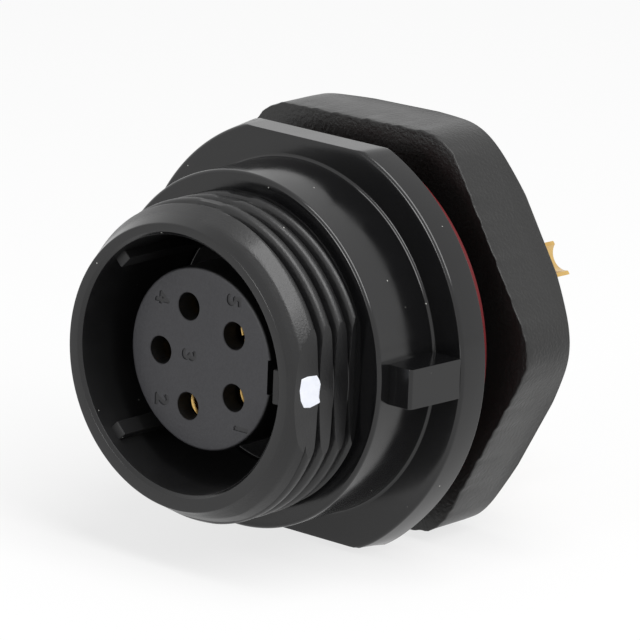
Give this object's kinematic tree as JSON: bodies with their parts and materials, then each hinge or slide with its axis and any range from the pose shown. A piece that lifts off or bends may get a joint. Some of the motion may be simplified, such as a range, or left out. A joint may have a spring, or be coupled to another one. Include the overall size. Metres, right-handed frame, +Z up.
{
  "type": "circular connector",
  "caption": "Panel-mount circular connector: keyed black plastic receptacle with threaded nose, flange, red panel seal, rear hex nut and gold solder-cup socket contacts.",
  "frame": {"origin": "centre of the flange face that meets the panel, on the connector's axis", "axes": "+Y along the axis out of the rear of the panel towards the solder tails, -Y out of the mating nose, +X towards the main key and the locating block, +Z up"},
  "size_m": [0.0194, 0.0231, 0.0182],
  "materials": {
    "shell_plastic": "gloss moulded",
    "insert_plastic": "matt moulded",
    "contact_gold": "gold plated",
    "seal_rubber": "matt",
    "panel_seal_silicone": "satin",
    "nut_plastic": "grained"
  },
  "bodies": {
    "connector": {"shell": "shell_plastic", "insert": "insert_plastic", "contact_1": "contact_gold", "contact_2": "contact_gold", "contact_3": "contact_gold", "contact_4": "contact_gold", "contact_5": "contact_gold", "insert_seal": "seal_rubber", "contact_retainer": "insert_plastic", "retaining_ring": "shell_plastic", "panel_seal": "panel_seal_silicone"},
    "nut": {"hex_nut": "nut_plastic"}
  },
  "joints": [
    {"name": "nut_travel", "type": "slide", "parent": "connector", "child": "nut", "axis": [0, 1, 0], "range_m": [-0.001, 0.0062]}
  ]
}
